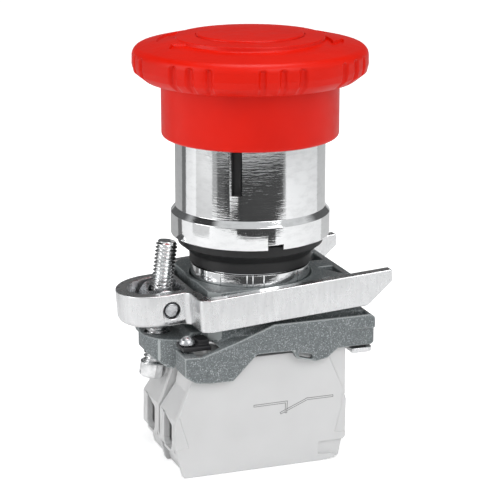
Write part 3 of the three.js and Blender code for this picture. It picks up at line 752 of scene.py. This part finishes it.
def screw():
    """A slotted cheese-head screw; its thread is one helical ridge with a chamfered start."""
    pitch, crest, root = 0.7, 1.98, 1.56
    low, high, sides, per_turn = -11.4, 11.15, 72, 12
    bm = bmesh.new()
    count = round((high - low) / pitch * per_turn)
    rings = []
    for i in range(count + 1):
        z = low + (high - low) * i / count
        ring = []
        for k in range(sides):
            a = 2 * math.pi * k / sides
            phase = (z / pitch - k / sides) % 1
            ridge = min(max(1.25 * (1 - abs(2 * phase - 1)) - 0.1, 0), 1)
            r = root + (crest - root) * ridge
            r = min(r, 1.52 + (high - z) * 0.75, crest)
            ring.append(bm.verts.new((r * math.cos(a) * MM, r * math.sin(a) * MM, z * MM)))
        rings.append(ring)
    for below, above in zip(rings, rings[1:]):
        for k in range(sides):
            n = (k + 1) % sides
            bm.faces.new((below[k], below[n], above[n], above[k]))
    bm.faces.new(rings[0])
    bm.faces.new(rings[-1])
    shank = smooth(to_object("screw_thread", bm, SCREW_METAL), 50)
    profile = fillet([(0, -14.35), (2.4, -14.35), (2.4, -11.55), (1.5, -11.3), (0, -11.3)],
                     [0, 0.6, 0.15, 0, 0], 6, closed=False)
    head = lathe("screw_head", profile, SCREW_METAL, 96)
    slot = block("slot", -3, 3, -0.4, 0.4, -15, -13.25, SCREW_METAL)
    combine(head, [slot])
    smooth(head, 30)
    for piece in (shank, head):
        placed(piece, TO_SCREW)
        fit(piece, "screw", "steel")
    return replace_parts(shank, "clamp_screw")


# ---------------------------------------------------------------- contact blocks
BLOCK_Y = {"near": -8.7, "far": 1.5}
COVER_FACE = 4.9                    # from a block's middle to the outside of its cover
HOUSING_FRONT = 3.4                 # and to where its housing begins
COVER_OUTLINE = [
    (-14.8, -19.5), (-16.2, -23.25), (-18.2, -28.7), (-19.0, -30.3), (-19.07, -35.3),
    (-17.6, -41.0), (9.0, -41.0), (12.45, -40.6), (13.1, -37.4), (13.6, -36.8), (13.75, -29.6),
    (13.2, -27.9), (9.6, -19.5),
]
# The cover's top right corner is a piece of its own, so that a fine seam runs along its slope.
CORNER_OUTLINE = [(9.62, -19.5), (13.5, -19.5), (13.5, -28.7), (13.3, -28.2), (13.21, -27.9)]
COVER_THICK = 1.2
SIDE_STEP = 0.13                    # how far the cover steps back along its two sides
HOUSING_OUTLINE = [
    (-14.6, -19.5), (-15.9, -26.0), (-18.9, -30.3), (-19.0, -36.4), (-18.2, -37.2), (-18.2, -38.0),
    (-17.2, -38.9), (-17.2, -39.7), (-16.8, -41.0), (9.0, -41.0), (12.6, -40.6), (13.0, -37.4),
    (13.55, -36.7), (13.55, -19.5),
]
CAVITY_OUTLINE = [
    (-13.6, -20.7), (-14.9, -26.4), (-17.7, -30.8), (-17.8, -36.0), (-15.6, -39.8), (8.8, -39.8),
    (11.8, -37.0), (12.35, -36.0), (12.35, -20.7),
]
TERMINAL_X = {"left": -13.0, "right": 8.8}
INNER_Y = 0.15                      # middle of a block's works, from the block's own middle
SYMBOL = [                          # the engraved sign for a normally closed contact
    [(-4.1, -28.85), (2.0, -28.8), (1.9, -30.7)],
    [(1.0, -30.75), (6.0, -28.7), (10.9, -28.7)],
]
SYMBOL_LAYERS = [                   # each line's dark edge, painted shade on the engraved line's walls, and pale fill: width, and stand from the face
    ("edge", 0.46, 0.012, GROOVE_SHADE), ("fill", 0.2, 0.024, GREY),
]
WIRE_ENTRY = [                      # (y, z) of the window a wire goes in by
    (2.5, -30.3), (-2.1, -31.6), (-2.1, -35.6), (-1.2, -36.5), (1.6, -36.5), (2.5, -35.6),
]


def line_bar(name, points, width, y0, y1, material):
    """A thin bar that follows a line of (x, z) points."""
    bars = []
    for (x0, z0), (x1, z1) in zip(points, points[1:]):
        along = Vector((x1 - x0, z1 - z0))
        length = along.length
        off = Vector((-along.y, along.x)).normalized() * width / 2
        step = along.normalized() * width / 2
        corners = [Vector((x0, z0)) - step + off, Vector((x1, z1)) + step + off,
                   Vector((x1, z1)) + step - off, Vector((x0, z0)) - step - off]
        bars.append(prism(name, [tuple(c) for c in corners], y0, y1, material))
    first = bars[0]
    return combine(first, bars[1:], "UNION") if len(bars) > 1 else first


def cover(label):
    y = BLOCK_Y[label]
    face = y - COVER_FACE
    rounding = [0.5] * (len(COVER_OUTLINE) - 2) + [0.1, 0.1]
    back = face + COVER_THICK
    body = prism("cover_plate_" + label, fillet(COVER_OUTLINE, rounding, 4), face, back, GREY)
    release = fillet([(8.25, -39.75), (8.25, -37.3), (14, -37.3), (14, -41.2), (12.0, -41.2),
                      (11.2, -39.9)], [0.3, 0.3, 0, 0, 0.3, 0.3], 3)
    left = [(-18.1, -29.6), (-17.9, -30.8), (-16.6, -35.2), (-20, -35.7), (-20, -29.0)]
    right = [(12.95, -28.4), (12.8, -30.9), (11.5, -35.75), (14.5, -35.95), (14.5, -28.4)]
    cutters = [prism("release", release, face - 1, face + 0.55, GREY),
               prism("left_side", left, face - 1, face + SIDE_STEP, GREY),
               prism("right_side", right, face - 1, face + SIDE_STEP, GREY)]
    combine(body, cutters)
    soften(body, 0.1, 2)
    fit(body, "fixed", "grey_plastic", "cover_" + label)
    corner = prism("cover_corner_" + label, CORNER_OUTLINE, face + SIDE_STEP, back, GREY)
    fit(soften(corner, 0.04, 2), "fixed", "grey_plastic")
    if label == "near":
        for i, line in enumerate(SYMBOL):
            for part, width, stand, paint in SYMBOL_LAYERS:
                sign = line_bar(f"contact_sign_{part}_{i}", line, width, face - stand, face + 0.06, paint)
                fit(sign, "fixed", "grey_plastic")
    return body


def housing(label):
    y = BLOCK_Y[label]
    body = prism("housing_shell_" + label, fillet(HOUSING_OUTLINE, 0.4, 4), y - HOUSING_FRONT,
                 y + 4.9, GREY)
    cutters = [prism("cavity", fillet(CAVITY_OUTLINE, 0.3, 3), y - 5, y + 3.7, GREY)]
    middle = y + INNER_Y
    for x0, x1 in ((-25, -15), (11, 20)):
        entry = fillet([(y + v, z) for v, z in WIRE_ENTRY], 0.3, 4)
        cutters.append(prism("entry", entry, x0, x1, GREY, "yz"))
    for x in TERMINAL_X.values():
        hole = lathe("driver", [(0, -43), (3.05, -43), (3.05, -38), (0, -38)], GREY, 48)
        cutters.append(placed(hole, Matrix.Translation((x * MM, middle * MM, 0))))
    post = lathe("post_hole", [(0, -22), (1.7, -22), (1.7, -18), (0, -18)], GREY, 48)
    cutters.append(placed(post, Matrix.Translation((0, (y + 1.9) * MM, 0))))
    combine(body, cutters)
    ribs = [block("rib", x0, x1, y - HOUSING_FRONT, y + 3.9, -40, -31.3, GREY)
            for x0, x1 in ((-9.2, -8.4), (4.6, 5.4))]
    ribs.append(block("tongue", -11.8, -8.9, y - 2.5, y + 2.5, -20, -18.7, GREY))
    combine(body, ribs, "UNION")
    soften(body, 0.16)
    return fit(body, "fixed", "grey_plastic", "housing_" + label)


def contact_works(label):
    """The moulded, stamped and turned pieces inside one block, softened from their CAD shapes."""
    mover = label + "_plunger"
    for node, body, slot, material, width in (
        ("plunger_" + label, mover, "white_plastic", WHITE, 0.12),
        ("contact_bridge_" + label, mover, "brass", BRASS, 0.08),
        ("fixed_contact_" + label + "_left", "fixed", "brass", BRASS, 0.08),
        ("fixed_contact_" + label + "_right", "fixed", "brass", BRASS, 0.08),
    ):
        piece = cad_copy(node, node + "_shape", material)
        soften(piece, width, 2)
        fit(piece, body, slot, node)
    for side, x in TERMINAL_X.items():
        piece = lathe(f"terminal_{label}_{side}", fillet(
            [(0, -36.2), (2.5, -36.2), (2.5, -34.2), (1.2, -34.2), (1.2, -28.9), (0, -28.9)],
            [0, 0.3, 0.1, 0, 0.25, 0], 4, closed=False), STEEL, 64)
        cross = [block("slot", -3, 3, -0.35, 0.35, -37, -35.3, STEEL),
                 block("slot", -0.35, 0.35, -1.6, 1.6, -37, -35.3, STEEL)]
        combine(piece, cross)
        placed(smooth(piece, 30), Matrix.Translation((x * MM, (BLOCK_Y[label] + INNER_Y) * MM, 0)))
        fit(piece, "fixed", "steel", f"terminal_screw_{label}_{side}")
        washer(label, side, x)


def washer(label, side, x):
    """A saddle washer whose outer end turns down as an arched tab, just inside the wire's window."""
    middle = BLOCK_Y[label] + INNER_Y
    low, high = (-16.95, -16.35) if side == "left" else (11.5, 12.1)
    flat = block(f"clamp_{label}_{side}", min(low, x - 2.4), max(high, x + 2.4), middle - 2.2,
                 middle + 2.2, -33.9, -33.0, PLATED)
    arch = fillet([(-2.2, -36.3), (2.2, -36.3), (2.2, -32.5), (-2.2, -32.5)], [0.3, 0.3, 1.9, 1.9], 8)
    tab = prism("tab", [(middle + y, z) for y, z in arch], low, high, PLATED, "yz")
    combine(flat, [tab], "UNION")
    hole = lathe("hole", [(0, -35), (1.55, -35), (1.55, -32), (0, -32)], PLATED, 48)
    combine(flat, [placed(hole, Matrix.Translation((x * MM, middle * MM, 0)))])
    return fit(soften(flat, 0.1, 2), "fixed", "steel", f"clamp_washer_{label}_{side}")


# ---------------------------------------------------------------- springs
LATCH_Z = 19.15


def helix(radius, z0, z1, turns, wire, per_turn=28):
    """A coil with closed, flattened end turns that reaches exactly from z0 to z1."""
    low, high = z0 + wire / 2, z1 - wire / 2
    count = round(turns * per_turn)
    points = []
    for i in range(count + 1):
        t = i / count
        dead = 0.8 / turns
        rise = min(max((t - dead) / (1 - 2 * dead), 0), 1)
        a = 2 * math.pi * turns * t
        z = low + wire * min(t, dead) / dead * 0.9 + (high - low - 1.8 * wire) * rise
        z += wire * 0.9 * max(t - 1 + dead, 0) / dead
        points.append((radius * math.cos(a), radius * math.sin(a), z))
    return points


def springs():
    """The coils, each on the body that carries it."""
    coil = tube("return_coil", helix(radius=6.7, z0=4.9, z1=16.7, turns=5.5, wire=1.1), 0.53, SPRING, 14)
    fit(smooth(coil, 60), "fixed", "spring_steel", "return_spring")
    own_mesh(coil)
    latch = tube("latch_coil", helix(radius=0.95, z0=-2.9, z1=2.9, turns=8, wire=0.35, per_turn=16),
                 0.17, SPRING, 8)
    placed(latch, Matrix.Translation((0, 0, LATCH_Z * MM)) @ Matrix.Rotation(math.pi / 2, 4, "Y"))
    fit(smooth(latch, 60), "push_rod", "spring_steel", "latch_spring")
    for label, y in BLOCK_Y.items():
        at = Matrix.Translation((0, (y + INNER_Y) * MM, 0))
        inner = tube("contact_coil_" + label, helix(radius=1.3, z0=-32.3, z1=-25.8, turns=7, wire=0.4,
                                                    per_turn=18), 0.19, SPRING, 8)
        fit(smooth(placed(inner, at), 60), label + "_plunger", "spring_steel", "contact_spring_" + label)
        under = tube("plunger_coil_" + label, helix(radius=1.9, z0=-39.5, z1=-33.7, turns=5, wire=0.45,
                                                    per_turn=20), 0.21, SPRING, 8)
        fit(smooth(placed(under, at), 60), "fixed", "spring_steel", "plunger_spring_" + label)
        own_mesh(under)


# ---------------------------------------------------------------- pieces inside the head
def cam_sleeve():
    """The fixed sleeve round the push rod, with the two release ramps cut into its top."""
    body = lathe("release_sleeve", fillet([(5.6, 3.3), (11.7, 3.3), (11.7, 19.6), (8.3, 19.6), (8.3, 4.6),
                                           (5.6, 4.6)], 0.2, 3), BLACK, 96)
    ramps = [block("ramp", x, x + 6, -2.2, 2.2, 15.4, 20, BLACK) for x in (-13, 7)]
    combine(body, ramps)
    return fit(smooth(body, 30), "fixed", "black_plastic", "cam_sleeve")


def head_works():
    """Turned and moulded pieces inside the head, from their CAD shapes with softened edges."""
    for node, body, slot, material, width in (
        ("retaining_ring", "fixed", "steel", STEEL, 0.1),
        ("spindle", "push_rod", "white_plastic", WHITE, 0.15),
        ("contact_pusher", "push_rod", "black_plastic", BLACK, 0.15),
        ("latch_pin_left", "push_rod", "steel", STEEL, 0.2),
        ("latch_pin_right", "push_rod", "steel", STEEL, 0.2),
        ("cap_washer", "push_rod", "steel", STEEL, 0.08),
        ("cap_screw", "push_rod", "steel", STEEL, 0.12),
        ("pusher_screw", "push_rod", "steel", STEEL, 0.12),
        ("fulcrum_pin_front", "fixed", "steel", STEEL, 0.15),
        ("fulcrum_pin_back", "fixed", "steel", STEEL, 0.15),
    ):
        piece = cad_copy(node, node + "_shape", material)
        soften(piece, width, 2)
        fit(piece, body, slot, node)


# ---------------------------------------------------------------- light and floor
FLOOR_Z = -0.0411
WORLD_BRIGHT = 0.66
WORLD_DIM = 0.05
WORLD_WALL = 0.18                   # the wall behind, as a share of the world around it
FLOOR_GLOW = 0.5
KEY_POWER = 1.6
FILL_POWER = 1.7
TOP_POWER = 2.4
LIGHT_DISTANCE = 0.75
PAPER = (0.95, 0.95, 0.95)
SEEN_LIFT = 0.00003                 # the floor the camera sees, above the one that the object sees
CLOTH_LIFT = 0.0005
# Cloths on the table, seen only in the bright metal: degrees to the camera's right where each
# begins and ends, how near it comes in metres, and its grey.
CLOTHS = [
    (-58, 54, 0.27, 0.30), (-50, 50, 0.252, 0.05), (-38, 46, 0.236, 0.01), (-27, 41, 0.21, 0.01),
    (-18, 35, 0.15, 0.01),
    (-88, -58, 0.14, 0.62), (-124, -112, 0.1, 0.15), (-180, -124, 0.1, 0.45), (120, 160, 0.1, 0.6),
]


def area_light(name, place, size, power):
    """A soft light at place that faces the origin."""
    data = bpy.data.lights.new(name, "AREA")
    data.shape = "RECTANGLE"
    data.size, data.size_y = size
    data.energy = power
    light = bpy.data.objects.new(name, data)
    light.location = place
    light.rotation_mode = "QUATERNION"
    light.rotation_quaternion = Vector(place).to_track_quat("Z", "Y")
    bpy.context.scene.collection.objects.link(light)


def camera_side(angle, elevation=0):
    """A direction turned by angle to the camera's right, from the one that points at the camera."""
    a = CAMERA_AZIMUTH + math.radians(angle)
    e = math.radians(elevation)
    return Vector((math.sin(a) * math.cos(e), -math.cos(a) * math.cos(e), math.sin(e)))


def sky():
    """Plain white for the camera, and a pale room with a dim ceiling for the bright metal to show."""
    world = bpy.data.worlds.new("studio")
    bpy.context.scene.world = world
    world.use_nodes = True
    tree = world.node_tree
    tree.nodes.clear()
    place = tree.nodes.new("ShaderNodeTexCoord")

    def along(direction):
        node = tree.nodes.new("ShaderNodeVectorMath")
        node.operation = "DOT_PRODUCT"
        node.inputs[1].default_value = direction
        tree.links.new(place.outputs["Generated"], node.inputs[0])
        return node.outputs["Value"]

    height = along((0, 0, 1))
    ceiling = multiply(tree, remap(tree, height, 0.5, 0.58, 0, 1), remap(tree, height, 0.86, 0.93, 1, 0))
    behind = remap(tree, along(camera_side(-160)), -0.1, 0.05, 0, 1)
    wall = multiply(tree, remap(tree, height, -0.04, 0.03, 0, 1), remap(tree, height, 0.5, 0.58, 1, 0))
    opposite = remap(tree, along(camera_side(180)), 0.2, 0.45, 0, 1)
    dimmed = remap(tree, multiply(tree, ceiling, behind), 0, 1, WORLD_BRIGHT, WORLD_DIM)
    shade_behind = remap(tree, multiply(tree, wall, opposite), 0, 1, 1, WORLD_WALL)
    strength = multiply(tree, dimmed, shade_behind)
    around = tree.nodes.new("ShaderNodeBackground")
    around.inputs["Color"].default_value = (0.975, 0.99, 1, 1)
    tree.links.new(strength, around.inputs["Strength"])
    seen = tree.nodes.new("ShaderNodeBackground")
    seen.inputs["Color"].default_value = (1, 1, 1, 1)
    path = tree.nodes.new("ShaderNodeLightPath")
    pick = tree.nodes.new("ShaderNodeMixShader")
    tree.links.new(path.outputs["Is Camera Ray"], pick.inputs["Fac"])
    tree.links.new(around.outputs["Background"], pick.inputs[1])
    tree.links.new(seen.outputs["Background"], pick.inputs[2])
    output = tree.nodes.new("ShaderNodeOutputWorld")
    tree.links.new(pick.outputs["Shader"], output.inputs["Surface"])


def table():
    """Two white floors in almost one place: the object sees one and the camera the other."""
    bm = bmesh.new()
    bmesh.ops.create_grid(bm, x_segments=2, y_segments=2, size=3)
    pale = new_material("floor", PAPER, 0, 0.6)[0]
    floor = to_object("floor", bm, pale)
    floor.location.z = FLOOR_Z
    lit = new_material("floor_lit", PAPER, 0, 0.6, Emission_Color=(1, 1, 1, 1),
                       Emission_Strength=FLOOR_GLOW)[0]
    backdrop = floor.copy()
    backdrop.name = "floor_seen"
    backdrop.data = floor.data.copy()
    backdrop.data.materials[0] = lit
    bpy.context.scene.collection.objects.link(backdrop)
    floor.visible_camera = False
    backdrop.location.z = FLOOR_Z + SEEN_LIFT
    backdrop.visible_diffuse = backdrop.visible_glossy = backdrop.visible_shadow = False


def cloths():
    for i, (left, right, near, grey) in enumerate(CLOTHS):
        middle = (left + right) / 2
        sweep = [left + (right - left) * k / 12 for k in range(13)]
        corners = [(a, near * (1 + 0.12 * abs((a - middle) / (right - middle)) ** 3)) for a in sweep]
        corners += [(a, 0.9) for a in reversed(sweep)]
        bm = bmesh.new()
        z = FLOOR_Z + CLOTH_LIFT + 0.0002 * i
        bm.faces.new([bm.verts.new((*(camera_side(angle) * reach).xy, z)) for angle, reach in corners])
        cloth = to_object(f"cloth_{i}", bm, new_material(f"cloth_{i}", (grey,) * 3, 0, 0.9)[0])
        cloth.visible_camera = cloth.visible_diffuse = cloth.visible_shadow = False


def lamps():
    area_light("key", camera_side(35, 38) * LIGHT_DISTANCE, (0.4, 0.4), KEY_POWER)
    area_light("fill", camera_side(-70, 20) * LIGHT_DISTANCE, (0.4, 0.5), FILL_POWER)
    area_light("top", (0.05, 0.05, LIGHT_DISTANCE), (0.4, 0.4), TOP_POWER)


make_camera()
mushroom()
centre_badge()
barrel()
gasket()
collar()
catch()
lock_lever()
yoke()
nut()
screw()
for side in BLOCK_Y:
    cover(side)
    housing(side)
    contact_works(side)
springs()
cam_sleeve()
head_works()
sky()
table()
cloths()
lamps()
bpy.context.scene.view_settings.view_transform = "Standard"
